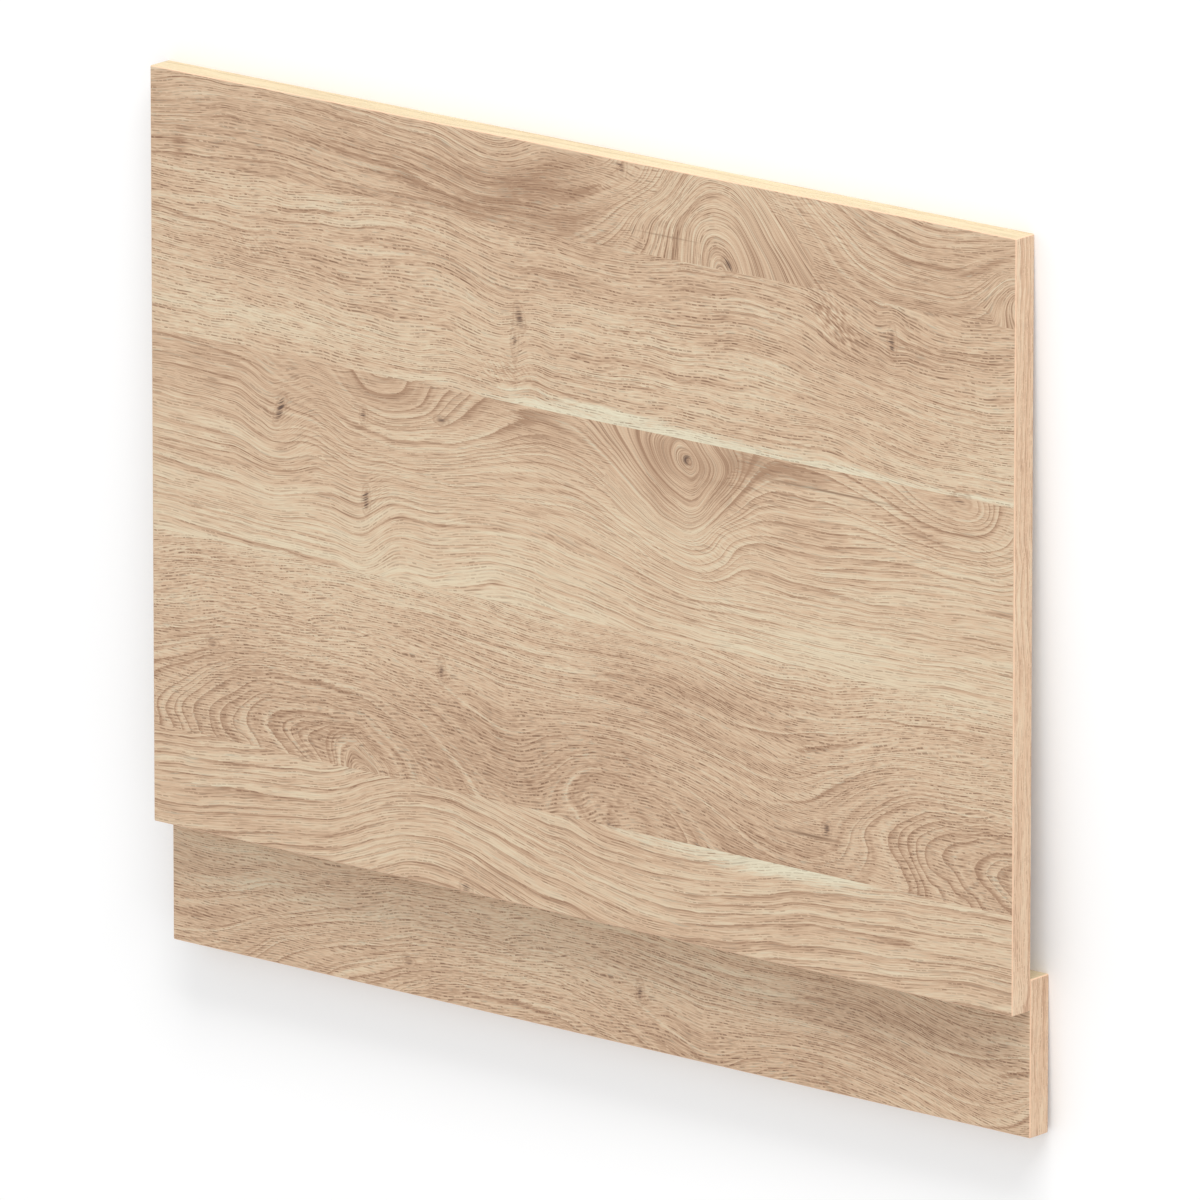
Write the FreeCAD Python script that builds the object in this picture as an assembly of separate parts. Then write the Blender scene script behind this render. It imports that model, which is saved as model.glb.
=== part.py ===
# Bath end panel with its plinth: two boards of one wood-faced stock, with the plinth fixed behind the panel's
# lower edge. Lengths are in millimetres.
import FreeCAD, Part
import math
import os

# Driving dimensions
WIDTH = 700.0           # of both boards, across the end of the bath
PANEL_HEIGHT = 493.0    # from the panel's lower edge to its top edge, which goes under the bath's rim
PLINTH_HEIGHT = 102.0   # from the plinth's foot to its upper edge
OVERLAP = 20.0          # how far the plinth reaches up behind the panel
BOARD_THICKNESS = 18.0  # of the stock that both boards are cut from
ARRIS_RADIUS = 1.0      # rounding of every edge of a board, as its edge band is trimmed

# The boards are made face up: width along X, height along Y, thickness along Z. The panel's lower edge is at Y = 0
# and the plinth's back is at Z = 0.
PLINTH_FOOT = OVERLAP - PLINTH_HEIGHT
PLINTH_BACK = 0.0
PANEL_BACK = PLINTH_BACK + BOARD_THICKNESS


def board(lower_edge, height, back):
    """One rectangular board of the stock, with every edge rounded."""
    corner = FreeCAD.Vector(-WIDTH / 2, lower_edge, back)
    blank = Part.makeBox(WIDTH, height, BOARD_THICKNESS, corner)
    return blank.makeFillet(ARRIS_RADIUS, blank.Edges)


def bath_panel():
    """The wide board that closes the end of the bath."""
    return board(0.0, PANEL_HEIGHT, PANEL_BACK)


def plinth():
    """The kick board: it stands back from the panel by the panel's thickness and reaches down to the floor."""
    return board(PLINTH_FOOT, PLINTH_HEIGHT, PLINTH_BACK)


def lay_on_floor(boards):
    """Sets the joined boards down as they lie unheld on a level floor, with the middle of their box at the origin.

    The plinth holds the panel's lower edge up, so the pair leans back until the panel's top back edge touches the
    floor too. The two edges that carry it have the same rounding, so the lean follows from the boards' sizes alone.
    """
    lean = math.degrees(math.atan2(BOARD_THICKNESS, PANEL_HEIGHT - OVERLAP))
    for shape in boards.values():
        shape.rotate(FreeCAD.Vector(0, 0, 0), FreeCAD.Vector(1, 0, 0), -lean)
    box = Part.makeCompound(list(boards.values())).optimalBoundingBox(False, False)
    for shape in boards.values():
        shape.translate(FreeCAD.Vector(-box.Center.x, -box.Center.y, -box.ZMin))


def main():
    boards = {"bath_panel": bath_panel(), "plinth": plinth()}
    lay_on_floor(boards)
    os.makedirs("parts", exist_ok=True)
    for name, shape in boards.items():
        shape.exportStep(f"parts/{name}.step")
        box = shape.optimalBoundingBox(False, False)
        print(name, "valid", shape.isValid(), "volume", round(shape.Volume, 1), "box", box)


main()
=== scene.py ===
# Looks of a bath end panel: an oak print over both boards, with a plain studio round it.
import math
from typing import NamedTuple

import bpy
from mathutils import Matrix, Vector


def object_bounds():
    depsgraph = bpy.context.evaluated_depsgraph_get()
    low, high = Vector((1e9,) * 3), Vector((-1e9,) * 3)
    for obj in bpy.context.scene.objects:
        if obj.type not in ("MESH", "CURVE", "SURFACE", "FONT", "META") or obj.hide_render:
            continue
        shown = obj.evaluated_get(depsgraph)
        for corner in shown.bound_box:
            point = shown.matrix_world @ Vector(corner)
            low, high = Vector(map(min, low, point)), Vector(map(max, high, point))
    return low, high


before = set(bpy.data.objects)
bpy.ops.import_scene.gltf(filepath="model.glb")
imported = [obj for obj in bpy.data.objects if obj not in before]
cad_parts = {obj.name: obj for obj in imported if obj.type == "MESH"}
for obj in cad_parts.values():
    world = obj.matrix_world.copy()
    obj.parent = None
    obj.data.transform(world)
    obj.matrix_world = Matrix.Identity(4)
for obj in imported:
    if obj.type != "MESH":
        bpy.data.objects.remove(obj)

bl_info = {
    "name": "Oak bath end panel",
    "version": (1, 0, 0),
    "blender": (4, 5, 0),
    "location": "3D View > Sidebar > Bath panel",
    "description": "Dresses the two boards of a bath end panel in an oak print and sets up a studio",
    "category": "Material",
}

# The box of the solids, before anything is dressed
CAD_BOX = [list(corner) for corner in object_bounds()]

# Lengths in the print are in millimetres, and in the scene in metres
MM = 0.001

# Heights of the joints between the print's five staves, from the panel's lower edge, top stave first
STAVE_JOINTS = (436.0, 323.0, 193.0, 64.0)

# How far apart the staves are kept, up and along, while their figure is worked out
STAVE_GAP = 400.0
STAVE_SHIFT = 517.0

# The figure of the print. Places are along and up the panel, from the middle of its lower edge. What is kept
# within its stave is listed by stave, top stave first.
# Eyes: closed or half rings, cut where the growth rings bulge through the face. A row is its place, then how
# far it reaches to the left, to the right and up or down, and its strength, which is below 0 where the rings
# hang down.
EYES = (
    (
        (122, 428, 78, 70, 108, 94),
        (362, 446, 34, 34, 26, 34),
    ),
    (),
    (
        (-168, 330, 72, 126, 58, -48),
        (88, 311, 80, 36, 60, -84),
        (300, 326, 80, 44, 40, -36),
    ),
    (
        (-172, 60, 205, 100, 74, 96),
        (-174, 50, 22, 20, 30, 20),
        (40, 66, 70, 98, 44, 34),
        (392, 74, 175, 140, 54, 84),
    ),
    (),
)

# All other rows are their place, then half length, half height, tilt in degrees and strength.
# Bends: where the fibres rise or sag
BENDS = (
    (
        (298, 500, 66, 50, 0, -24),
        (-250, 475, 90, 45, 0, 10),
        (-72, 490, 28, 40, 0, -10),
    ),
    (
        (-135, 425, 60, 50, 0, 9),
        (-160, 360, 40, 40, 0, -7),
        (-54, 372, 32, 50, 0, -6),
        (-36, 364, 12, 34, 0, 4),
        (140, 432, 65, 45, 0, 9),
        (310, 390, 84, 60, 0, -20),
    ),
    (
        (-246, 270, 22, 40, 0, -9),
        (-214, 284, 18, 24, 0, 6),
        (-175, 222, 16, 36, 0, -6),
        (-146, 222, 20, 36, 0, 6),
        (-50, 245, 85, 70, 0, 22),
        (180, 265, 90, 50, 0, -12),
    ),
    (
        (62, 115, 78, 62, 0, 24),
        (165, 140, 60, 60, 0, -8),
        (350, 150, 90, 70, 0, 16),
        (-150, 160, 140, 80, 0, 24),
    ),
    (
        (-115, 25, 56, 80, 0, 22),
        (-370, 20, 120, 80, 0, -22),
        (80, 25, 70, 80, 0, -16),
        (380, 30, 120, 80, 0, 14),
    ),
)

# Clear rings: patches where the ring lines stand out (above 0) or fade
CLEAR_RINGS = (
    (80, 465, 36, 30, 0, 0.24),
    (190, 465, 34, 30, 0, -0.14),
    (-300, 90, 70, 34, 0, 0.20),
    (-100, 90, 56, 40, 0, -0.32),
    (40, 80, 80, 30, 0, -0.50),
    (-172, 78, 40, 26, 0, -0.16),
    (220, 265, 130, 36, 0, 0.20),
    (-300, 255, 60, 26, 0, 0.14),
    (285, 85, 60, 30, 0, 0.20),
    (-135, 305, 50, 24, 0, 0.12),
    (-205, 316, 46, 20, 0, -0.40),
    (50, 280, 40, 40, 0, 0.14),
)

# Shades: soft patches that are lighter (above 0) or darker than their stave
SHADES = (
    (-326, 445, 5, 9, 0, -0.30),
    (-150, 464, 70, 8, 0, -0.18),
    (-30, 470, 50, 9, 28, -0.22),
    (-45, 460, 70, 28, 0, -0.20),
    (130, 478, 90, 20, 0, 0.18),
    (335, 455, 36, 18, 0, 0.12),
    (210, 420, 26, 12, -35, -0.16),
    (280, 410, 34, 6, 0, -0.16),
    (-160, 426, 160, 9, 0, 0.17),
    (-240, 345, 120, 14, 0, 0.10),
    (230, 396, 130, 12, 0, -0.12),
    (66, 298, 13, 28, 20, -0.34),
    (-30, 312, 110, 12, 0, -0.12),
    (168, 314, 34, 8, 0, -0.40),
    (120, 304, 32, 20, 30, -0.36),
    (230, 300, 34, 18, 0, 0.18),
    (240, 478, 24, 2.4, -30, -0.34),
    (285, 465, 30, 2.4, 0, -0.34),
    (328, 472, 24, 2.4, 26, -0.34),
    (-285, 247, 64, 2.2, 0, -0.26),
    (230, 300, 110, 1.8, 0, -0.20),
    (-200, 305, 80, 20, 0, -0.12),
    (-20, 112, 80, 14, 0, -0.13),
    (80, 155, 90, 36, 0, -0.14),
    (-110, 82, 170, 16, 0, -0.12),
    (-50, 14, 44, 13, 0, -0.20),
    (-300, 10, 70, 12, 0, -0.12),
)

# Knots: small dark hearts
KNOTS = (
    (123, 440, 3.5, 2.5, 0, 0.9),
    (-90, 447, 7, 3, 0, 0.45),
    (-8, 445, 6, 5, 0, 0.45),
    (37, 488, 1.8, 4, 0, 0.9),
    (-46, 380, 2, 6, 15, 1.0),
    (-50, 364, 1.2, 10, 0, 0.8),
    (253, 413, 1.4, 8, 0, 1.0),
    (-243, 287, 1.7, 7, -25, 1.1),
    (-174, 294, 1.2, 4, 0, 1.0),
    (89, 311, 3, 3.5, 0, 1.1),
    (308, 321, 5, 2, 0, 0.7),
    (-172, 241, 1.3, 6, 0, 1.2),
    (-300, 127, 3, 1.0, -15, 1.0),
    (-110, 139, 1.3, 6, 0, 0.9),
    (202, 92, 1.6, 3.5, 0, 1.1),
    (28, 66, 4, 1.6, 0, 0.8),
    (-90, 3, 3, 3, 0, 0.8),
    (-110, 302, 4, 1.0, 0, 0.8),
)

# Flecks: patches where the rays are cut across the grain
FLECKS = (
    (207, 419, 21, 11, -38, 0.75),
    (-60, 342, 20, 9, 10, 0.4),
    (-265, 390, 26, 7, 0, 0.3),
)

# Hairlines: long single pores
HAIRLINES = (
    (72, 450, 24, 0.6, 0, 0.45),
    (205, 309, 52, 0.7, 0, 0.75),
    (190, 87, 22, 0.9, 0, 0.8),
)

# Sapwood: pale green-cream streaks that run along a joint
SAPWOOD = (
    (),
    (
        (30, 325, 100, 7.5, 0, 1.15),
        (220, 323, 150, 5.0, 0, 0.95),
    ),
    (),
    (),
    (
        (150, 62, 84, 7.0, 0, 1.25),
    ),
)

# What sets the staves apart, top stave first.
# Length of the fine fibres, and how far they wander up and down
FIBRE_LENGTHS = (12.0, 12.0, 20.0, 9.0, 20.0)
WANDERS = (11.0, 10.0, 7.0, 9.0, 6.0)
# Spacing of the growth rings, as a share of the usual one, and how much more clearly their lines show
RING_SHARES = (0.8, 0.9, 1.0, 0.85, 1.25)
RING_LIFTS = (0.06, 0.0, 0.10, 0.03, 0.26)
# Length of the pores, as a share of the usual one, and their darkness
PORE_SHARES = (1.5, 1.25, 1.7, 0.95, 1.7)
PORE_SHADES = (0.60, 0.74, 0.47, 0.74, 0.54)
# Tone at the stave's lower edge, and its rise for each millimetre up
TONES = (0.30, 0.61, 0.72, 0.26, 0.48)
TONE_RISES = (0.0026, -0.0020, -0.0024, 0.0026, 0.0008)

# Where a soft patch and an eye's edge end, as the square of a distance in half lengths
PATCH_END = 3.0
EYE_END = 2.6

# Where an eye's cone of rings ends, as a distance in its reaches
CONE_END = 2.0

# An eye whose strength is more than this share of its reach has fibres that follow its rings, up to this edge
TIGHT_EYE = 0.9
TIGHT_EDGE = 0.45
TIGHT_EDGE_RIPPLE = 0.5

# How far an eye's rings sink for each millimetre to the right
EYE_LEAN = 0.2

# How far the pores are moved to the left for each millimetre up
PORE_LEAN = 0.6

# Knots with at least this half height push the fibres apart, by so much and so far beyond their hearts
TALL_KNOT = 7
KNOT_PUSH = 5.0
PUSH_BEYOND = (7, 8)

# How far a knot's stain reaches beyond its heart, along and up
STAIN_BEYOND = (1.6, 2.0)

# Noises of the print: how long their patches are along the grain, and how wide. The length of the fine
# fibres is a share of their stave's.
WANDER_SIZE = (90.0, 55.0)
RIPPLE_SIZE = (30.0, 26.0)
BAND_SIZE = (110.0, 5.0)
UNEVEN_SIZE = (500.0, 22.0)
CLEAR_SIZE = (120.0, 9.0)
CLOUD_SIZE = (130.0, 45.0)
FLECK_SIZE = (5.0, 1.3)
FIBRE_SIZE = (1.0, 0.6)
PRESSED_SIZE = (6.0, 0.7)

# How far they move the lines, in millimetres
FIBRE_RIPPLE = 2.6
EYE_WANDER = 30.0
EYE_RIPPLE = 8.0
RING_UNEVENNESS = 26.0
RING_FRAY = 1.1
PORE_UNEVENNESS = 5.0
KNOT_FRAY = 3.0
KNOT_RIPPLE = 8.0

# How much the parts of the print lighten its tone, or darken it where below 0
CLOUD_TONE = 0.25
BAND_TONE = 0.62
FIBRE_TONE = -0.9
RING_TONE = -0.75
PALE_DASH_TONE = 0.42
FLECK_TONE = 2.2

# Where the mid wood lies between the deep wood at 0 and the pale wood at 1
MID_TONE = 0.55

# A growth ring darkens slowly and then sharply towards its line, and is a little lighter at its start
RING_SHARPNESS = 5.0
RING_LINE_SHARE = 0.7
RING_START = 0.22

# How much clearer the rings are near an eye
EYE_CLEARNESS = 0.25

# How the runs of pores change along their row and from row to row, and how many pores a run is moved along
RUN_STEPS = (0.3, 7.31, 0.0)
RUN_SHIFT = 4.0

# How much darker the pores are in dark bands, and how much of them the sapwood hides
PORE_BAND = -0.6
SAPWOOD_COVER = -0.3

# How far the bands and the fibres fray the sapwood, the knots' stains and their hearts
SAPWOOD_BAND = 1.6
SAPWOOD_FRAY = 2.2
STAIN_BAND = 0.4
HEART_FRAY = 2.2

# The way in which the flecks run
FLECK_SLANT = math.radians(38.0)

# Where a level turns into a mark: from which level to which, and the mark's strength at both
CLEAR_RING = (0.42, 0.72, 0.0, 1.0)
PORE_ENDS = (0.5, 0.28, 0.0, 1.0)
PORE_SIDES = (0.33, 0.06, 0.0, 1.0)
PORE_RUN = (0.32, 0.62, 0.15, 1.0)
DARK_PORE = (0.0, 0.9, 0.25, 1.0)
PALE_PORE = (0.45, 0.0, 0.0, 1.0)
PALE_LINE = (0.30, 0.5, 0.0, 0.7)
LONG_PORE = (0.60, 0.80, 0.0, 0.42)
SAPWOOD_STREAK = (0.2, 1.1, 0.0, 0.72)
RIM_OUTSIDE = (0.04, 0.22, 0.0, 1.0)
RIM_INSIDE = (0.5, 0.26, 0.0, 0.4)
KNOT_STAIN = (0.35, 1.0, 0.0, 0.6)
KNOT_HEART = (0.72, 1.3, 0.0, 0.9)
# The arris mark is a painted highlight along the boards' arrises
ARRIS_HIGHLIGHT = (0.99, 0.90, 0.0, 0.7)

# How squarely a surface looks one way to belong to an edge, or to the back
EDGE_FACING = 0.7
BACK_FACING = -0.5

# Where on the sheet the backs and the bands were cut, and how much finer the grain of the side bands is
BACK_CUT = 2000.0
SIDE_CUT = 4000.0
END_CUT = 6000.0
BAND_CUT_UP = 16.0
SIDE_FINENESS = 1.8

# How far the edges lean to the colour of their bands, a colour that is partly a painted highlight, and how
# far the top edges lean further to a painted highlight
EDGE_BAND_AND_HIGHLIGHT_SHARE = 0.25
# The top edges lean further, to a painted highlight that stands in for the light falling on them from above
TOP_HIGHLIGHT_SHARE = 0.45

# Roughness of the print, and how much more of it the pores have, its gloss, and how much of the emboss shows
ROUGHNESS = 0.55
PORE_ROUGHNESS = 0.15
GLOSS = 0.25
EMBOSS_SHARE = 0.5

# Size of the floor's mottle in metres, and the brightness of its darker patches
MOTTLE_SIZE = (0.3, 0.3)
MOTTLE_SHADE = 0.98

# The camera's sensor in millimetres, and how far it sees in metres
SENSOR = 36.0
FAR = 200.0


class Row(NamedTuple):
    """A soft patch of the figure."""
    along: float
    up: float
    half_length: float
    half_height: float
    tilt: float
    strength: float

    def grown(self, beyond):
        """The patch, reaching further along and up."""
        length, height = beyond
        return self._replace(half_length=self.half_length + length, half_height=self.half_height + height)


class Eye(NamedTuple):
    """Closed or half rings of the figure."""
    along: float
    up: float
    left: float
    right: float
    rise: float
    strength: float

    def is_tight(self):
        """Whether its rings are close enough for the fibres to follow them."""
        return abs(self.strength) > TIGHT_EYE * max(self.left, self.right)


# A patch and an eye of no strength, far from the boards
NO_ROW = Row(0, -9000, 1, 1, 0, 0)
NO_EYE = Eye(0, -9000, 1, 1, 1, 0)


def from_screen(red, green, blue):
    """A colour as a screen shows it, 0 to 255, in the scene's linear light."""
    def linear(level):
        share = level / 255.0
        return share / 12.92 if share <= 0.04045 else ((share + 0.055) / 1.055) ** 2.4
    return (linear(red), linear(green), linear(blue))


class OakPrintSettings(bpy.types.PropertyGroup):
    """Colours and sizes of the oak print on both boards, with the painted highlights of their edges."""
    pale: bpy.props.FloatVectorProperty(
        name="Pale wood", description="Lightest wood between the rings", subtype="COLOR",
        default=from_screen(216, 200, 172), min=0.0, max=1.0)
    mid: bpy.props.FloatVectorProperty(
        name="Mid wood", description="Colour of most of the print", subtype="COLOR",
        default=from_screen(206, 177, 148), min=0.0, max=1.0)
    deep: bpy.props.FloatVectorProperty(
        name="Deep wood", description="Darkest wood in the rings", subtype="COLOR",
        default=from_screen(165, 132, 106), min=0.0, max=1.0)
    pore: bpy.props.FloatVectorProperty(
        name="Pores", description="Colour of the pores", subtype="COLOR",
        default=from_screen(114, 84, 64), min=0.0, max=1.0)
    heart: bpy.props.FloatVectorProperty(
        name="Knot hearts", description="Colour of the knots' hearts", subtype="COLOR",
        default=from_screen(88, 69, 60), min=0.0, max=1.0)
    sapwood: bpy.props.FloatVectorProperty(
        name="Sapwood", description="Colour of the pale streaks", subtype="COLOR",
        default=from_screen(221, 217, 192), min=0.0, max=1.0)
    # The edge band's colour, lighter than the print partly as a painted highlight on the edges
    band_and_highlight: bpy.props.FloatVectorProperty(
        name="Edge band", description="Colour that the edge bands lean to", subtype="COLOR",
        default=from_screen(232, 194, 164), min=0.0, max=1.0)
    # A painted highlight: the pale yellow that the top edges lean to, in place of the light that falls on
    # them from above
    painted_top_highlight: bpy.props.FloatVectorProperty(
        name="Top band", description="Colour that the bands along the top lean to", subtype="COLOR",
        default=from_screen(203, 199, 160), min=0.0, max=1.0)
    ring_spacing: bpy.props.FloatProperty(
        name="Ring spacing", description="From one growth ring to the next in straight grain",
        default=6.0 * MM, min=1.0 * MM, max=40.0 * MM, subtype="DISTANCE", unit="LENGTH")
    pore_length: bpy.props.FloatProperty(
        name="Pore length", description="Length of a pore along the grain",
        default=4.5 * MM, min=1.0 * MM, max=60.0 * MM, subtype="DISTANCE", unit="LENGTH")
    pore_spacing: bpy.props.FloatProperty(
        name="Pore rows", description="From one row of pores to the next",
        default=1.65 * MM, min=0.5 * MM, max=20.0 * MM, subtype="DISTANCE", unit="LENGTH")
    emboss: bpy.props.FloatProperty(
        name="Emboss", description="Depth of the pressed grain",
        default=0.12 * MM, min=0.0, max=1.0 * MM, subtype="DISTANCE", unit="LENGTH")
    plinth_along: bpy.props.FloatProperty(
        name="Plinth cut, along", description="How far along the print the plinth was cut",
        default=-147.0 * MM, subtype="DISTANCE", unit="LENGTH")
    plinth_up: bpy.props.FloatProperty(
        name="Plinth cut, up", description="How far up the print the plinth was cut",
        default=186.0 * MM, subtype="DISTANCE", unit="LENGTH")


class StudioSettings(bpy.types.PropertyGroup):
    """The floor, the lights and the camera."""
    floor_size: bpy.props.FloatProperty(
        name="Floor size", description="Side of the square floor",
        default=60.0, min=2.0, subtype="DISTANCE", unit="LENGTH")
    floor_colour: bpy.props.FloatVectorProperty(
        name="Floor", description="Colour of the floor", subtype="COLOR",
        default=from_screen(250, 250, 250), min=0.0, max=1.0)
    sky: bpy.props.FloatProperty(
        name="Surround light", description="Strength of the even light from all round",
        default=0.9, min=0.0)
    key_power: bpy.props.FloatProperty(
        name="Key light", description="Power of the large soft light", default=460.0, min=0.0,
        subtype="POWER", unit="POWER")
    key_width: bpy.props.FloatProperty(
        name="Key width", description="Width of the large soft light",
        default=6.0, min=0.1, subtype="DISTANCE", unit="LENGTH")
    key_height: bpy.props.FloatProperty(
        name="Key height", description="Height of the large soft light",
        default=2.2, min=0.1, subtype="DISTANCE", unit="LENGTH")
    key_distance: bpy.props.FloatProperty(
        name="Key distance", description="From the boards to the large soft light",
        default=8.0, min=0.5, subtype="DISTANCE", unit="LENGTH")
    key_round: bpy.props.FloatProperty(
        name="Key to the right", description="How far to the right of the panel's top the light stands",
        default=math.radians(20.0), subtype="ANGLE", unit="ROTATION")
    key_above: bpy.props.FloatProperty(
        name="Key above", description="How far above the floor the light stands",
        default=math.radians(18.0), subtype="ANGLE", unit="ROTATION")
    view_right: bpy.props.FloatProperty(
        name="View from the right", description="How far round the panel the camera stands",
        default=math.radians(40.0), subtype="ANGLE", unit="ROTATION")
    view_above: bpy.props.FloatProperty(
        name="View from above", description="How far above the panel's middle the camera stands",
        default=math.radians(15.0), subtype="ANGLE", unit="ROTATION")
    view_distance: bpy.props.FloatProperty(
        name="View distance", description="From the panel's face to the camera",
        default=13.773, min=1.0, subtype="DISTANCE", unit="LENGTH")
    lens: bpy.props.FloatProperty(
        name="Lens", description="Focal length on a 36 mm sensor", default=664.9, min=10.0,
        subtype="DISTANCE_CAMERA", unit="CAMERA")
    aim_along: bpy.props.FloatProperty(
        name="Aim, along", description="Middle of the picture, right of the panel's middle",
        default=19.3 * MM, subtype="DISTANCE", unit="LENGTH")
    aim_up: bpy.props.FloatProperty(
        name="Aim, up", description="Middle of the picture, above the panel's lower edge",
        default=208.5 * MM, subtype="DISTANCE", unit="LENGTH")


def board_lean():
    """How far the boards lean back as they lie, from the panel's largest face."""
    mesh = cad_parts["bath_panel"].data
    largest = max((p for p in mesh.polygons if p.normal.z > 0), key=lambda p: p.area)
    return math.atan2(largest.normal.y, largest.normal.z)


def board_axes():
    """The boards' own axes as they lie: along, up and out of the face, from the middle of the panel's lower
    edge, level with the plinth's back."""
    turn = Matrix.Rotation(-board_lean(), 4, "X")
    flat = turn.inverted()
    panel = [flat @ v.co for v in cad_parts["bath_panel"].data.vertices]
    plinth = [flat @ v.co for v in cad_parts["plinth"].data.vertices]
    middle = (min(p.x for p in panel) + max(p.x for p in panel)) / 2
    origin = Vector((middle, min(p.y for p in panel), min(p.z for p in plinth)))
    return Matrix.Translation(turn @ origin) @ turn


def row_terms(row):
    """What turns a place into distances along and up a row, in its half lengths and half heights."""
    turn = math.radians(row.tilt)
    x_along, x_up = math.cos(turn) / row.half_length, math.sin(turn) / row.half_length
    y_along, y_up = -math.sin(turn) / row.half_height, math.cos(turn) / row.half_height
    x_start = -x_along * row.along - x_up * row.up
    y_start = -y_along * row.along - y_up * row.up
    return x_along, x_up, x_start, y_along, y_up, y_start


def inverse(vector):
    """One over each of a vector's numbers."""
    return Vector([1 / number for number in vector])


def in_threes(rows, filler):
    """The rows three at a time, the last three filled up."""
    filled = [*rows, *[filler] * (-len(rows) % 3)]
    return [filled[start:start + 3] for start in range(0, len(filled), 3)]


def row_threes(rows):
    """Rows of the figure three at a time, the tilted ones together."""
    rows = sorted((Row(*row) for row in rows), key=lambda row: row.tilt == 0)
    return in_threes(rows, NO_ROW)


def apart(rows_by_stave):
    """The rows of all staves, each stave moved up by its own gap, so that none reaches into the next."""
    return [(along, up + number * STAVE_GAP, *rest)
            for number, rows in enumerate(reversed(rows_by_stave)) for along, up, *rest in rows]


class Wiring:
    """Adds nodes to one tree and hands back their outputs, so that a recipe reads in order."""

    def __init__(self, tree):
        self.tree = tree

    def node(self, kind, **settings):
        """A new node."""
        made = self.tree.nodes.new(kind)
        for name, value in settings.items():
            setattr(made, name, value)
        return made

    def feed(self, socket, value):
        """Links a socket to an output, or gives it a number or a colour."""
        if isinstance(value, bpy.types.NodeSocket):
            self.tree.links.new(value, socket)
        else:
            socket.default_value = value

    def math(self, operation, *values):
        """A sum on numbers."""
        made = self.node("ShaderNodeMath", operation=operation)
        for socket, value in zip(made.inputs, values):
            self.feed(socket, value)
        return made.outputs[0]

    def vector(self, operation, *values):
        """A sum on vectors, which gives a vector or one number."""
        made = self.node("ShaderNodeVectorMath", operation=operation)
        for socket, value in zip(made.inputs, values):
            self.feed(socket, value)
        return made.outputs["Value" if operation == "DOT_PRODUCT" else "Vector"]

    def join(self, x, y, z):
        """A vector of three numbers."""
        made = self.node("ShaderNodeCombineXYZ")
        for socket, value in zip(made.inputs, (x, y, z)):
            self.feed(socket, value)
        return made.outputs[0]

    def split(self, vector):
        """The three numbers of a vector."""
        made = self.node("ShaderNodeSeparateXYZ")
        self.feed(made.inputs[0], vector)
        return made.outputs[0], made.outputs[1], made.outputs[2]

    def noise(self, place, detail=0.0, roughness=0.5):
        """Even noise about 0.5 over a place's first two numbers."""
        made = self.node("ShaderNodeTexNoise", noise_dimensions="2D")
        self.feed(made.inputs["Vector"], place)
        made.inputs["Scale"].default_value = 1.0
        made.inputs["Detail"].default_value = detail
        made.inputs["Roughness"].default_value = roughness
        return made.outputs[0]

    def chance(self, x, y):
        """A number from 0 to 1 drawn anew for each pair of whole numbers."""
        made = self.node("ShaderNodeTexWhiteNoise", noise_dimensions="2D")
        self.feed(made.inputs["Vector"], self.join(x, y, 0.0))
        return made.outputs["Value"]

    def sway(self, value, noise, amount):
        """The value, moved by a share of a noise."""
        return self.math("MULTIPLY_ADD", self.math("SUBTRACT", noise, 0.5), amount, value)

    def ease(self, value, low, high, from_level, to_level):
        """A soft step from one level to the other while the value goes from low to high."""
        made = self.node("ShaderNodeMapRange", interpolation_type="SMOOTHSTEP")
        for socket, number in zip(made.inputs, (value, low, high, from_level, to_level)):
            self.feed(socket, number)
        return made.outputs[0]

    def mix(self, share, first, second):
        """A colour between two."""
        made = self.node("ShaderNodeMix", data_type="RGBA")
        self.feed(made.inputs["Factor"], share)
        for socket, value in ((made.inputs[6], first), (made.inputs[7], second)):
            self.feed(socket, value if isinstance(value, bpy.types.NodeSocket) else (*value, 1.0))
        return made.outputs[2]

    def pick(self, share, first, second):
        """The first vector where the share is 0, and the second where it is 1."""
        made = self.node("ShaderNodeMix", data_type="VECTOR")
        self.feed(made.inputs["Factor"], share)
        self.feed(made.inputs[4], first)
        self.feed(made.inputs[5], second)
        return made.outputs[1]

    def total(self, values):
        """The values added up."""
        result, *others = values
        for value in others:
            result = self.math("ADD", result, value)
        return result

    def spread(self, along, up):
        """A place as two vectors, each with the same number three times."""
        return self.three_times(along), self.three_times(up)

    def three_times(self, value):
        """A vector with the same number three times."""
        made = self.node("ShaderNodeVectorMath", operation="SCALE")
        made.inputs[0].default_value = (1.0, 1.0, 1.0)
        self.feed(made.inputs["Scale"], value)
        return made.outputs["Vector"]

    def bumps(self, place, three):
        """Soft round bumps at three rows, one in each part of a vector: 1 in a row's middle and 0.44 at its
        half length or half height. Also how far above each row's middle the place is, in half heights."""
        along, up = place
        x_along, x_up, x_start, y_along, y_up, y_start = zip(*(row_terms(row) for row in three))
        x = self.vector("MULTIPLY_ADD", along, x_along, x_start)
        y = self.vector("MULTIPLY_ADD", up, y_up, y_start)
        if any(row.tilt for row in three):
            x = self.vector("MULTIPLY_ADD", up, x_up, x)
            y = self.vector("MULTIPLY_ADD", along, y_along, y)
        square = self.vector("MULTIPLY_ADD", y, y, self.vector("MULTIPLY", x, x))
        return self.falloff(square, PATCH_END), y

    def bump_sum(self, place, rows):
        """The rows' bumps at their strengths, added up."""
        sums = []
        for three in row_threes(rows):
            bumps, _ = self.bumps(place, three)
            sums.append(self.vector("DOT_PRODUCT", bumps, [row.strength for row in three]))
        return self.total(sums)

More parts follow.
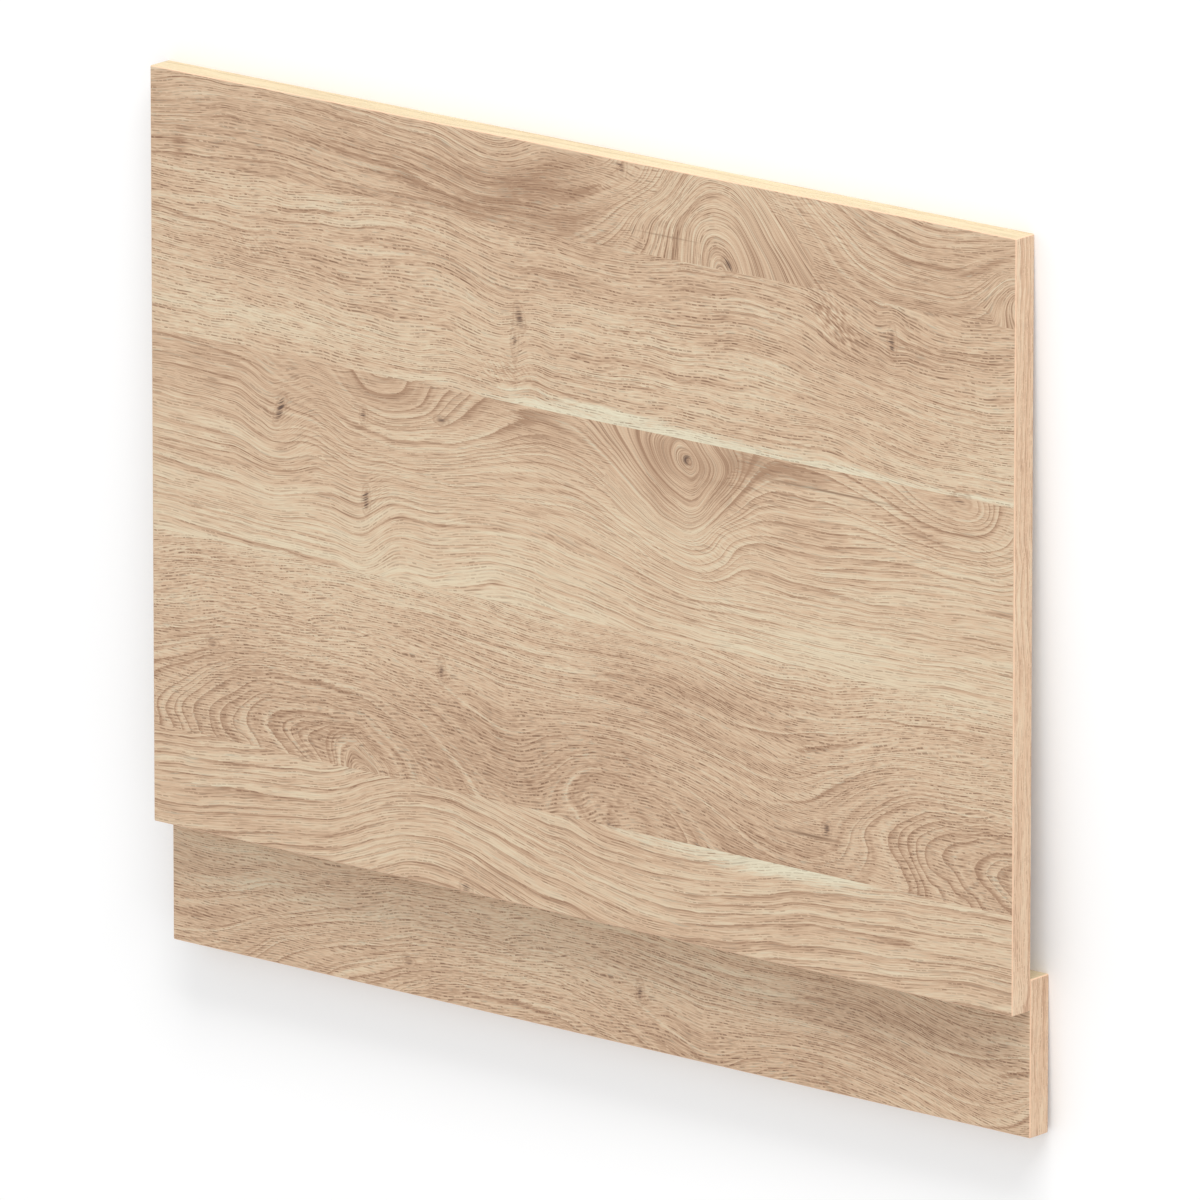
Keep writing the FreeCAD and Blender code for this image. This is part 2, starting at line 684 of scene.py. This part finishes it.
    def parting_sum(self, place, rows):
        """How far the rows push the fibres apart, up or down."""
        sums = []
        for three in row_threes(rows):
            bumps, above = self.bumps(place, three)
            pushes = [KNOT_PUSH * row.strength for row in three]
            sums.append(self.vector("DOT_PRODUCT", self.vector("MULTIPLY", bumps, above), pushes))
        return self.total(sums)

    def eye_square(self, place, three):
        """The squares of how far a place is from three eyes, in their own reaches."""
        along, up = place
        middle, height, left, right, rise, _ = (Vector(part) for part in zip(*three))
        to_left = self.vector("MULTIPLY_ADD", along, -inverse(left), middle * inverse(left))
        to_right = self.vector("MULTIPLY_ADD", along, inverse(right), -middle * inverse(right))
        beside = self.vector("MAXIMUM", to_left, to_right)
        leaning = height + EYE_LEAN * middle
        above = self.vector("MULTIPLY_ADD", up, inverse(rise), -leaning * inverse(rise))
        return self.vector("MULTIPLY_ADD", above, above, self.vector("MULTIPLY", beside, beside))

    def eye_pull(self, square, edge, level, three):
        """How far three eyes pull the growth rings up. Within their edge the rise of the fibres is taken out,
        and a cone of rings takes its place."""
        level_out = self.vector("DOT_PRODUCT", edge, (1.0, 1.0, 1.0))
        heights = self.vector("DOT_PRODUCT", edge, [-eye.up for eye in three])
        pull = self.math("MULTIPLY_ADD", level, level_out, heights)
        cone = self.falloff(self.vector("POWER", square, (0.5, 0.5, 0.5)), CONE_END)
        return self.math("ADD", pull, self.vector("DOT_PRODUCT", cone, [eye.strength for eye in three]))

    def eye_sum(self, place, level, eyes):
        """How far the eyes pull the growth rings up, and how near the nearest eye and tight eye are."""
        pulls = []
        nearest, tightest = (0.0, 0.0, 0.0), (0.0, 0.0, 0.0)
        for three in in_threes([Eye(*eye) for eye in eyes], NO_EYE):
            square = self.eye_square(place, three)
            edge = self.falloff(square, EYE_END)
            pulls.append(self.eye_pull(square, edge, level, three))
            nearest = self.vector("MAXIMUM", nearest, edge)
            tight = [float(eye.is_tight()) for eye in three]
            if any(tight):
                tightest = self.vector("MAXIMUM", tightest, self.vector("MULTIPLY", edge, tight))
        return self.total(pulls), self.largest(nearest), self.largest(tightest)

    def falloff(self, distance, end):
        """1 at no distance, falling to 0 at the end."""
        share = 1 / end
        near = self.vector("MULTIPLY_ADD", distance, (-share, -share, -share), (1.0, 1.0, 1.0))
        near = self.vector("MAXIMUM", near, (0.0, 0.0, 0.0))
        return self.vector("MULTIPLY", near, near)

    def largest(self, vector):
        """The largest of a vector's three numbers."""
        x, y, z = self.split(vector)
        return self.math("MAXIMUM", x, self.math("MAXIMUM", y, z))


def stave_shares(wiring, up):
    """1 in a stave and 0 elsewhere, as vectors of the upper three and the lower two staves, and the stave's
    number from below."""
    above = [wiring.math("GREATER_THAN", up, joint) for joint in STAVE_JOINTS]
    between = [wiring.math("SUBTRACT", lower, upper) for upper, lower in zip(above, above[1:])]
    upper = wiring.join(above[0], between[0], between[1])
    lower = wiring.join(between[2], wiring.math("SUBTRACT", 1.0, above[3]), 0.0)
    return (upper, lower), wiring.total(above)


def grain(wiring, place, size, detail=0.0, roughness=0.5):
    """Noise that is stretched along the grain."""
    length, width = size
    return wiring.noise(wiring.vector("MULTIPLY", place, (1 / length, 1 / width, 0.0)), detail, roughness)


class OakFigure:
    """The lines and noises of the oak sheet that the parts of its print share."""

    def __init__(self, wiring, place):
        w = self.w = wiring
        self.place = place
        self.along, self.up, _ = w.split(place)
        self.shares, stave = stave_shares(w, self.up)
        self.spot = w.spread(self.along, self.up)

        # The same place with the staves kept apart, so that each has its own figure and noise
        self.own_along = w.math("MULTIPLY_ADD", stave, STAVE_SHIFT, self.along)
        self.own_up = w.math("MULTIPLY_ADD", stave, STAVE_GAP, self.up)
        self.own_spot = w.spread(self.along, self.own_up)
        self.own_place = w.join(self.own_along, self.up, 0.0)
        self.reach = w.math("MULTIPLY_ADD", self.up, PORE_LEAN, self.own_along)

        # Lines of the fibres, and of the growth rings, which also go round the eyes
        self.wander = grain(w, self.own_place, WANDER_SIZE, detail=1.0)
        self.ripple = grain(w, self.own_place, RIPPLE_SIZE, detail=1.0)
        self.fibre = w.math("SUBTRACT", self.own_up, self.bends())
        pulled, self.eye_near, eye_tight = self.eyes()
        self.rings = w.math("SUBTRACT", self.fibre, pulled)
        self.ring_place = w.join(self.reach, self.rings, 0.0)
        self.pore_lines = self.lines_of_pores(eye_tight)

        # Fine fibres, broad bands, and how unevenly the rings are spaced
        fibres = w.math("DIVIDE", self.reach, self.by_stave(FIBRE_LENGTHS))
        fibre_place = w.join(fibres, self.pore_lines, 0.0)
        self.fine = grain(w, fibre_place, FIBRE_SIZE, detail=1.0, roughness=0.6)
        self.broad = grain(w, self.ring_place, BAND_SIZE, detail=2.0, roughness=0.65)
        self.uneven = grain(w, self.ring_place, UNEVEN_SIZE, detail=1.0)

    def by_stave(self, values):
        """The value of the stave that a place is in."""
        upper, lower = self.shares
        first = self.w.vector("DOT_PRODUCT", upper, values[:3])
        return self.w.math("ADD", first, self.w.vector("DOT_PRODUCT", lower, (*values[3:], 0.0)))

    def bends(self):
        """How far the fibres rise."""
        w = self.w
        bends = w.bump_sum(self.own_spot, apart(BENDS))
        bends = w.sway(bends, self.wander, self.by_stave(WANDERS))
        bends = w.sway(bends, self.ripple, FIBRE_RIPPLE)
        tall_knots = [knot for knot in (Row(*row) for row in KNOTS) if knot.half_height >= TALL_KNOT]
        partings = [knot.grown(PUSH_BEYOND) for knot in tall_knots]
        return w.math("ADD", bends, w.parting_sum(self.spot, partings))

    def eyes(self):
        """The pull of the eyes, with crooked rings, and how near the nearest eye and tight eye are."""
        w = self.w
        leaning = w.math("MULTIPLY_ADD", self.along, EYE_LEAN, self.own_up)
        crooked_along = w.sway(self.along, self.wander, EYE_WANDER)
        crooked_up = w.sway(leaning, self.ripple, EYE_RIPPLE)
        return w.eye_sum(w.spread(crooked_along, crooked_up), self.own_up, apart(EYES))

    def lines_of_pores(self, eye_tight):
        """The lines that the pores follow: the fibres, and within tight eyes the rings."""
        w = self.w
        in_eye = w.math("GREATER_THAN", w.sway(eye_tight, self.ripple, TIGHT_EDGE_RIPPLE), TIGHT_EDGE)
        return w.math("MULTIPLY_ADD", in_eye, w.math("SUBTRACT", self.rings, self.fibre), self.fibre)


def ring_shade(figure, settings):
    """How dark the growth rings are: each darkens towards a sharp line, some strongly and some hardly."""
    w = figure.w
    spacing = figure.by_stave([settings.ring_spacing / MM * share for share in RING_SHARES])
    frayed = w.sway(w.sway(figure.rings, figure.uneven, RING_UNEVENNESS), figure.fine, RING_FRAY)
    phase = w.math("FRACT", w.math("DIVIDE", frayed, spacing))
    sharp = w.math("POWER", phase, RING_SHARPNESS)
    line = w.math("MULTIPLY_ADD", sharp, RING_LINE_SHARE, w.math("MULTIPLY", phase, 1.0 - RING_LINE_SHARE))
    clear = w.math("ADD", figure.by_stave(RING_LIFTS), grain(w, figure.ring_place, CLEAR_SIZE))
    clear = w.math("ADD", clear, w.bump_sum(figure.spot, CLEAR_RINGS))
    clear = w.math("MULTIPLY_ADD", figure.eye_near, EYE_CLEARNESS, clear)
    return w.math("MULTIPLY", w.math("SUBTRACT", line, RING_START), w.ease(clear, *CLEAR_RING))


def from_middle(wiring, value):
    """How far a value is from the middle between two whole numbers."""
    return wiring.math("ABSOLUTE", wiring.math("SUBTRACT", wiring.math("FRACT", value), 0.5))


def pore_rows(wiring, reach, level, length, spacing):
    """Dashes in rows along the grain, each with tapered ends and its own darkness: the dark ones, and the
    pale ones with the pale lines between the rows."""
    w = wiring
    rows = w.math("DIVIDE", level, spacing)
    row = w.math("FLOOR", rows)
    beside = from_middle(w, rows)
    dashes = w.math("DIVIDE", reach, length)
    run = w.noise(w.vector("MULTIPLY", w.join(dashes, row, 0.0), RUN_STEPS))
    dashes = w.math("MULTIPLY_ADD", run, RUN_SHIFT, dashes)
    shape = w.math("MULTIPLY", w.ease(from_middle(w, dashes), *PORE_ENDS), w.ease(beside, *PORE_SIDES))
    chance = w.chance(row, w.math("FLOOR", dashes))
    dark = w.math("MULTIPLY", w.ease(run, *PORE_RUN), w.ease(chance, *DARK_PORE))
    pale = w.math("MULTIPLY", shape, w.ease(chance, *PALE_PORE))
    return w.math("MULTIPLY", shape, dark), w.math("MAXIMUM", pale, w.ease(beside, *PALE_LINE))


def oak_pores(figure, settings):
    """Dark dashes along the fibres, darker in the dark bands, with a few long ones, and the pale dashes."""
    w = figure.w
    length = figure.by_stave([settings.pore_length / MM * share for share in PORE_SHARES])
    level = w.sway(figure.pore_lines, figure.uneven, PORE_UNEVENNESS)
    pores, pale_dashes = pore_rows(w, figure.reach, level, length, settings.pore_spacing / MM)
    shade = figure.by_stave(PORE_SHADES)
    pores = w.math("MULTIPLY", pores, w.sway(shade, figure.broad, PORE_BAND))
    pores = w.math("MAXIMUM", pores, w.ease(figure.fine, *LONG_PORE))
    pores = w.math("MAXIMUM", pores, w.bump_sum(figure.spot, HAIRLINES))
    return pores, w.math("MULTIPLY", pale_dashes, shade)


def ray_flecks(figure):
    """Flecks, which run aslant: how far they lighten or darken the tone."""
    w = figure.w
    along = w.vector("DOT_PRODUCT", figure.place, (math.cos(FLECK_SLANT), -math.sin(FLECK_SLANT), 0.0))
    across = w.vector("DOT_PRODUCT", figure.place, (math.sin(FLECK_SLANT), math.cos(FLECK_SLANT), 0.0))
    flecks = w.sway(0.0, grain(w, w.join(along, across, 0.0), FLECK_SIZE), FLECK_TONE)
    return w.math("MULTIPLY", flecks, w.bump_sum(figure.spot, FLECKS))


def wood_tone(figure, rings, pale_dashes):
    """The tone of the wood from 0, deep, to 1, pale."""
    w = figure.w
    starts = [tone - rise * foot for tone, rise, foot in zip(TONES, TONE_RISES, (*STAVE_JOINTS, 0.0))]
    tone = w.math("MULTIPLY_ADD", figure.up, figure.by_stave(TONE_RISES), figure.by_stave(starts))
    tone = w.math("ADD", tone, ray_flecks(figure))
    tone = w.math("ADD", tone, w.bump_sum(figure.spot, SHADES))
    tone = w.sway(tone, grain(w, figure.own_place, CLOUD_SIZE), CLOUD_TONE)
    tone = w.sway(tone, figure.broad, BAND_TONE)
    tone = w.sway(tone, figure.fine, FIBRE_TONE)
    tone = w.math("MULTIPLY_ADD", rings, RING_TONE, tone)
    tone = w.math("MULTIPLY_ADD", pale_dashes, PALE_DASH_TONE, tone)
    return w.math("MINIMUM", w.math("MAXIMUM", tone, 0.0), 1.0)


def wood_colour(wiring, tone, settings):
    """The wood's colour at a tone."""
    ramp = wiring.node("ShaderNodeValToRGB")
    wiring.feed(ramp.inputs[0], tone)
    ramp.color_ramp.elements[0].color = (*settings.deep, 1.0)
    ramp.color_ramp.elements[1].color = (*settings.pale, 1.0)
    ramp.color_ramp.elements.new(MID_TONE).color = (*settings.mid, 1.0)
    return ramp.outputs[0]


def sapwood_share(figure):
    """Sapwood streaks, ragged along the grain."""
    w = figure.w
    streaks = w.bump_sum(figure.own_spot, apart(SAPWOOD))
    streaks = w.sway(streaks, figure.broad, SAPWOOD_BAND)
    streaks = w.sway(streaks, figure.fine, SAPWOOD_FRAY)
    return w.ease(streaks, *SAPWOOD_STREAK)


def with_knots(figure, colour, settings):
    """The colour with the hearts of the knots, ragged too, and a dim rim and a stain round each."""
    w = figure.w
    ragged_along = w.sway(figure.along, figure.fine, KNOT_FRAY)
    ragged_up = w.sway(figure.up, figure.ripple, KNOT_RIPPLE)
    stained = [Row(*row).grown(STAIN_BEYOND) for row in KNOTS]
    knots = w.bump_sum(w.spread(ragged_along, ragged_up), stained)
    rim = w.math("MULTIPLY", w.ease(knots, *RIM_OUTSIDE), w.ease(knots, *RIM_INSIDE))
    colour = w.mix(rim, colour, tuple(settings.deep))
    stain = w.ease(w.sway(knots, figure.broad, STAIN_BAND), *KNOT_STAIN)
    colour = w.mix(stain, colour, tuple(settings.deep))
    heart = w.ease(w.sway(knots, figure.fine, HEART_FRAY), *KNOT_HEART)
    return w.mix(heart, colour, tuple(settings.heart))


def oak_print(settings):
    """The printed oak as a node group, from a place on the sheet, in millimetres, to its colour and pores."""
    tree = bpy.data.node_groups.new("oak_print", "ShaderNodeTree")
    tree.interface.new_socket("Place", in_out="INPUT", socket_type="NodeSocketVector")
    tree.interface.new_socket("Colour", in_out="OUTPUT", socket_type="NodeSocketColor")
    tree.interface.new_socket("Pores", in_out="OUTPUT", socket_type="NodeSocketFloat")
    w = Wiring(tree)
    figure = OakFigure(w, w.node("NodeGroupInput").outputs["Place"])
    pores, pale_dashes = oak_pores(figure, settings)
    tone = wood_tone(figure, ring_shade(figure, settings), pale_dashes)
    sapwood = sapwood_share(figure)
    colour = w.mix(sapwood, wood_colour(w, tone, settings), tuple(settings.sapwood))
    pores = w.math("MULTIPLY", pores, w.math("MULTIPLY_ADD", sapwood, SAPWOOD_COVER, 1.0))
    colour = w.mix(pores, colour, tuple(settings.pore))
    colour = with_knots(figure, colour, settings)
    result = w.node("NodeGroupOutput")
    w.feed(result.inputs["Colour"], colour)
    w.feed(result.inputs["Pores"], pores)
    return tree


def flat_place(wiring, coordinates, axes):
    """The place in the boards' own axes, in millimetres."""
    flat = wiring.node("ShaderNodeMapping", vector_type="TEXTURE")
    wiring.feed(flat.inputs["Vector"], coordinates.outputs["Object"])
    flat.inputs["Location"].default_value = axes.translation
    flat.inputs["Rotation"].default_value = axes.to_euler()
    flat.inputs["Scale"].default_value = (MM, MM, MM)
    return flat.outputs[0]


def flat_normal(wiring, coordinates, axes):
    """The way the surface looks in the boards' own axes."""
    upright = wiring.node("ShaderNodeMapping", vector_type="VECTOR")
    wiring.feed(upright.inputs["Vector"], coordinates.outputs["Normal"])
    upright.inputs["Rotation"].default_value = axes.inverted().to_euler()
    return upright.outputs[0]


class BoardSides:
    """1 on a board's side edges, its ends, its top or its back, and 0 elsewhere, with the share of a painted
    highlight on its arrises.
    """

    def __init__(self, wiring, normal):
        w = wiring
        across_side, across_end, across_face = w.split(normal)
        to_side = w.math("ABSOLUTE", across_side)
        to_end = w.math("ABSOLUTE", across_end)
        self.side = w.math("GREATER_THAN", to_side, EDGE_FACING)
        self.end = w.math("GREATER_THAN", to_end, EDGE_FACING)
        self.edge = w.math("MAXIMUM", self.side, self.end)
        self.top = w.math("GREATER_THAN", across_end, EDGE_FACING)
        self.back = w.math("LESS_THAN", across_face, BACK_FACING)
        squarest = w.math("MAXIMUM", w.math("MAXIMUM", to_side, to_end), w.math("ABSOLUTE", across_face))
        # A painted highlight along the arrises, where the surface turns from one side to the next
        self.arris_highlight = w.ease(squarest, *ARRIS_HIGHLIGHT)


def sheet_place(wiring, place, sides, cut):
    """Where on the oak sheet a board's face, its back and its bands were cut."""
    w = wiring
    along, up, out = w.split(place)
    cut_along, cut_up = cut
    band_up = w.math("ADD", out, BAND_CUT_UP)
    face_place = w.join(w.math("ADD", along, cut_along), w.math("ADD", up, cut_up), 1.0)
    back_place = w.join(w.math("ADD", along, BACK_CUT), up, 1.0)
    side_place = w.join(w.math("MULTIPLY_ADD", up, SIDE_FINENESS, SIDE_CUT), band_up, 1.0)
    end_place = w.join(w.math("ADD", along, END_CUT), band_up, 1.0)
    cut_place = w.pick(sides.back, face_place, back_place)
    cut_place = w.pick(sides.side, cut_place, side_place)
    return w.pick(sides.end, cut_place, end_place)


def board_material(name, sheet, settings, cut):
    """One board's finish: the print on its face, a quiet part of the sheet on its back, and edge bands with
    painted highlights.
    """
    made = bpy.data.materials.new(name)
    made.use_nodes = True
    w = Wiring(made.node_tree)
    shader = made.node_tree.nodes["Principled BSDF"]
    coordinates = w.node("ShaderNodeTexCoord")
    axes = board_axes()
    place = flat_place(w, coordinates, axes)
    sides = BoardSides(w, flat_normal(w, coordinates, axes))

    oak = w.node("ShaderNodeGroup")
    oak.node_tree = sheet
    w.feed(oak.inputs["Place"], sheet_place(w, place, sides, cut))
    # The edges lean to the band's colour, which is partly a painted highlight
    edge_share = w.math("MULTIPLY", sides.edge, EDGE_BAND_AND_HIGHLIGHT_SHARE)
    colour = w.mix(edge_share, oak.outputs["Colour"], tuple(settings.band_and_highlight))
    # Painted highlight along the top edges
    colour = w.mix(w.math("MULTIPLY", sides.top, TOP_HIGHLIGHT_SHARE), colour, tuple(settings.painted_top_highlight))
    # A painted highlight along the arrises, in the band's colour
    colour = w.mix(sides.arris_highlight, colour, tuple(settings.band_and_highlight))
    w.feed(shader.inputs["Base Color"], colour)
    roughness = w.math("MULTIPLY_ADD", oak.outputs["Pores"], PORE_ROUGHNESS, ROUGHNESS)
    w.feed(shader.inputs["Roughness"], roughness)
    shader.inputs["Specular IOR Level"].default_value = GLOSS

    bump = w.node("ShaderNodeBump")
    bump.inputs["Strength"].default_value = EMBOSS_SHARE
    bump.inputs["Distance"].default_value = settings.emboss
    w.feed(bump.inputs["Height"], grain(w, place, PRESSED_SIZE))
    w.feed(shader.inputs["Normal"], bump.outputs[0])
    return made


def oak_sheet(context):
    """The oak print, made once."""
    return bpy.data.node_groups.get("oak_print") or oak_print(context.scene.oak_print)


def dress(node, material):
    """Puts a material on a solid of the frame."""
    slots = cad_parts[node].data.materials
    slots.clear()
    slots.append(material)


class BATH_OT_panel(bpy.types.Operator):
    """Gives the panel its oak print"""
    bl_idname = "bath_panel.dress_panel"
    bl_label = "Dress the panel"

    def execute(self, context):
        settings = context.scene.oak_print
        dress("bath_panel", board_material("oak_on_panel", oak_sheet(context), settings, (0.0, 0.0)))
        return {"FINISHED"}


class BATH_OT_plinth(bpy.types.Operator):
    """Gives the plinth its oak print, cut from another place on the sheet"""
    bl_idname = "bath_panel.dress_plinth"
    bl_label = "Dress the plinth"

    def execute(self, context):
        settings = context.scene.oak_print
        cut = (settings.plinth_along / MM, settings.plinth_up / MM)
        dress("plinth", board_material("oak_on_plinth", oak_sheet(context), settings, cut))
        return {"FINISHED"}


def floor_material(settings):
    """Pale matt paper, a little uneven."""
    made = bpy.data.materials.new("studio_floor")
    made.use_nodes = True
    made.node_tree.nodes.clear()
    w = Wiring(made.node_tree)
    coordinates = w.node("ShaderNodeTexCoord")
    mottle = grain(w, coordinates.outputs["Object"], MOTTLE_SIZE)
    darker = tuple(MOTTLE_SHADE * level for level in settings.floor_colour)
    paper = w.node("ShaderNodeBsdfDiffuse")
    w.feed(paper.inputs["Color"], w.mix(mottle, tuple(settings.floor_colour), darker))
    w.feed(w.node("ShaderNodeOutputMaterial").inputs["Surface"], paper.outputs[0])
    return made


def make_floor(scene, settings):
    """A square floor under the boards."""
    half = settings.floor_size / 2
    mesh = bpy.data.meshes.new("floor")
    corners = [(-half, -half, 0), (half, -half, 0), (half, half, 0), (-half, half, 0)]
    mesh.from_pydata(corners, [], [(0, 1, 2, 3)])
    mesh.materials.append(floor_material(settings))
    floor = bpy.data.objects.new("floor", mesh)
    floor.location.z = CAD_BOX[0][2]
    scene.collection.objects.link(floor)


def make_lights(scene, settings):
    """One large soft light from beyond the panel's top edge, and an even light from all round."""
    lamp = bpy.data.lights.new("key", "AREA")
    lamp.shape = "RECTANGLE"
    lamp.energy = settings.key_power
    lamp.size = settings.key_width
    lamp.size_y = settings.key_height
    turn, rise = settings.key_round, settings.key_above
    way = Vector((math.sin(turn) * math.cos(rise), math.cos(turn) * math.cos(rise), math.sin(rise)))
    key = bpy.data.objects.new("key", lamp)
    key.location = way * settings.key_distance
    key.rotation_euler = way.to_track_quat("Z", "Y").to_euler()
    scene.collection.objects.link(key)
    world = bpy.data.worlds.new("studio")
    world.use_nodes = True
    background = world.node_tree.nodes["Background"]
    background.inputs["Color"].default_value = (1.0, 1.0, 1.0, 1.0)
    background.inputs["Strength"].default_value = settings.sky
    scene.world = world


def make_camera(scene, settings):
    """A long lens that looks at the panel's face from the right and from above, with its top at the top."""
    axes = board_axes()
    face = max((axes.inverted() @ v.co).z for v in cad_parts["bath_panel"].data.vertices)
    aim = Vector((settings.aim_along, settings.aim_up, face))
    right, above = settings.view_right, settings.view_above
    back = Vector((math.sin(right) * math.cos(above), math.sin(above), math.cos(right) * math.cos(above)))
    across = Vector((0.0, 1.0, 0.0)).cross(back).normalized()
    turn = Matrix((across, back.cross(across), back)).transposed().to_4x4()
    lens = bpy.data.cameras.new("camera")
    lens.lens = settings.lens
    lens.sensor_width = SENSOR
    lens.clip_end = FAR
    camera = bpy.data.objects.new("camera", lens)
    camera.matrix_world = axes @ Matrix.Translation(aim + back * settings.view_distance) @ turn
    scene.collection.objects.link(camera)
    scene.camera = camera


class BATH_OT_studio(bpy.types.Operator):
    """Sets up the floor, the lights and the camera"""
    bl_idname = "bath_panel.make_studio"
    bl_label = "Set up the studio"

    def execute(self, context):
        settings = context.scene.studio
        make_floor(context.scene, settings)
        make_lights(context.scene, settings)
        make_camera(context.scene, settings)
        context.scene.view_settings.view_transform = "Standard"
        return {"FINISHED"}


class BATH_PT_sidebar(bpy.types.Panel):
    """Lists the steps and what can be changed"""
    bl_idname = "BATH_PT_sidebar"
    bl_label = "Bath panel"
    bl_space_type = "VIEW_3D"
    bl_region_type = "UI"
    bl_category = "Bath panel"

    def draw(self, context):
        column = self.layout.column()
        for operator in OPERATORS:
            column.operator(operator.bl_idname)
        for settings in (context.scene.oak_print, context.scene.studio):
            box = self.layout.box()
            for name in settings.__annotations__:
                box.prop(settings, name)


OPERATORS = (BATH_OT_panel, BATH_OT_plinth, BATH_OT_studio)
CLASSES = (OakPrintSettings, StudioSettings, *OPERATORS, BATH_PT_sidebar)


def register():
    for made in CLASSES:
        bpy.utils.register_class(made)
    bpy.types.Scene.oak_print = bpy.props.PointerProperty(type=OakPrintSettings)
    bpy.types.Scene.studio = bpy.props.PointerProperty(type=StudioSettings)


def unregister():
    del bpy.types.Scene.studio
    del bpy.types.Scene.oak_print
    for made in reversed(CLASSES):
        bpy.utils.unregister_class(made)


def main():
    register()
    bpy.ops.bath_panel.dress_panel()
    bpy.ops.bath_panel.dress_plinth()
    bpy.ops.bath_panel.make_studio()


if __name__ == "__main__":
    main()
